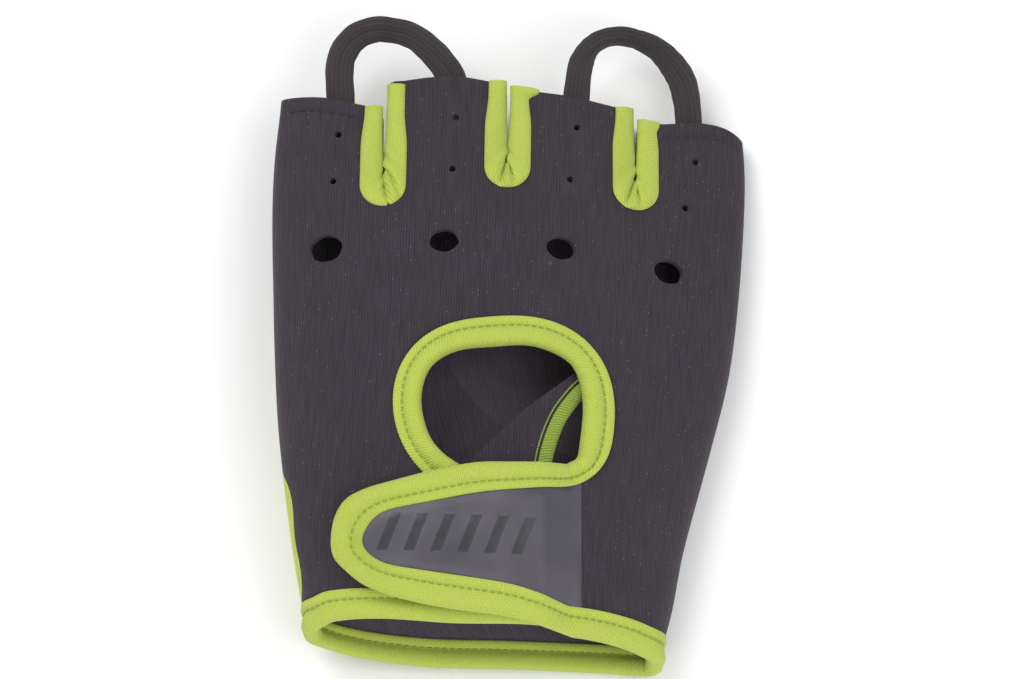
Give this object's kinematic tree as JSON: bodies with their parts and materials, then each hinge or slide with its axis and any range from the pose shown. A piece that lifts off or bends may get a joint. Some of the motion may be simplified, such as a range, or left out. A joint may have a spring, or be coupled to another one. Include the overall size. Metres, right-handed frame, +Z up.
{
  "type": "weightlifting glove",
  "caption": "Fingerless right-hand training glove with a keyhole opening on the back, a wrist closure strap, bound edges, finger slots and pull loops.",
  "frame": {"origin": "on the floor under the middle of the glove's bounding box", "axes": "+X towards the little finger, +Y towards the fingertips, +Z up out of the back of the hand"},
  "size_m": [0.1066, 0.15, 0.0366],
  "materials": {
    "knit": "ribbed dark charcoal stretch knit",
    "suede": "pebbled grey synthetic suede",
    "neoprene": "ribbed lime neoprene, matt",
    "tape": "ribbed lime knitted binding tape",
    "rubber_patch": "smooth satin dark grey rubber facing",
    "elastic": "dark grey knitted elastic"
  },
  "bodies": {
    "root": {"back_panel": "knit", "palm_grip": "suede", "palm_heel": "neoprene", "thumb_back": "knit", "thumb_inner_side": "neoprene", "closure_strap": "rubber_patch", "strap_binding": "tape", "under_flap": "knit", "flap_binding": "tape", "window_binding": "tape", "wrist_binding": "tape", "slot_binding_index_middle": "tape", "slot_binding_middle_ring": "tape", "slot_binding_ring_little": "tape", "pull_loop_index_middle": "elastic", "pull_loop_ring_little": "elastic"}
  },
  "joints": []
}
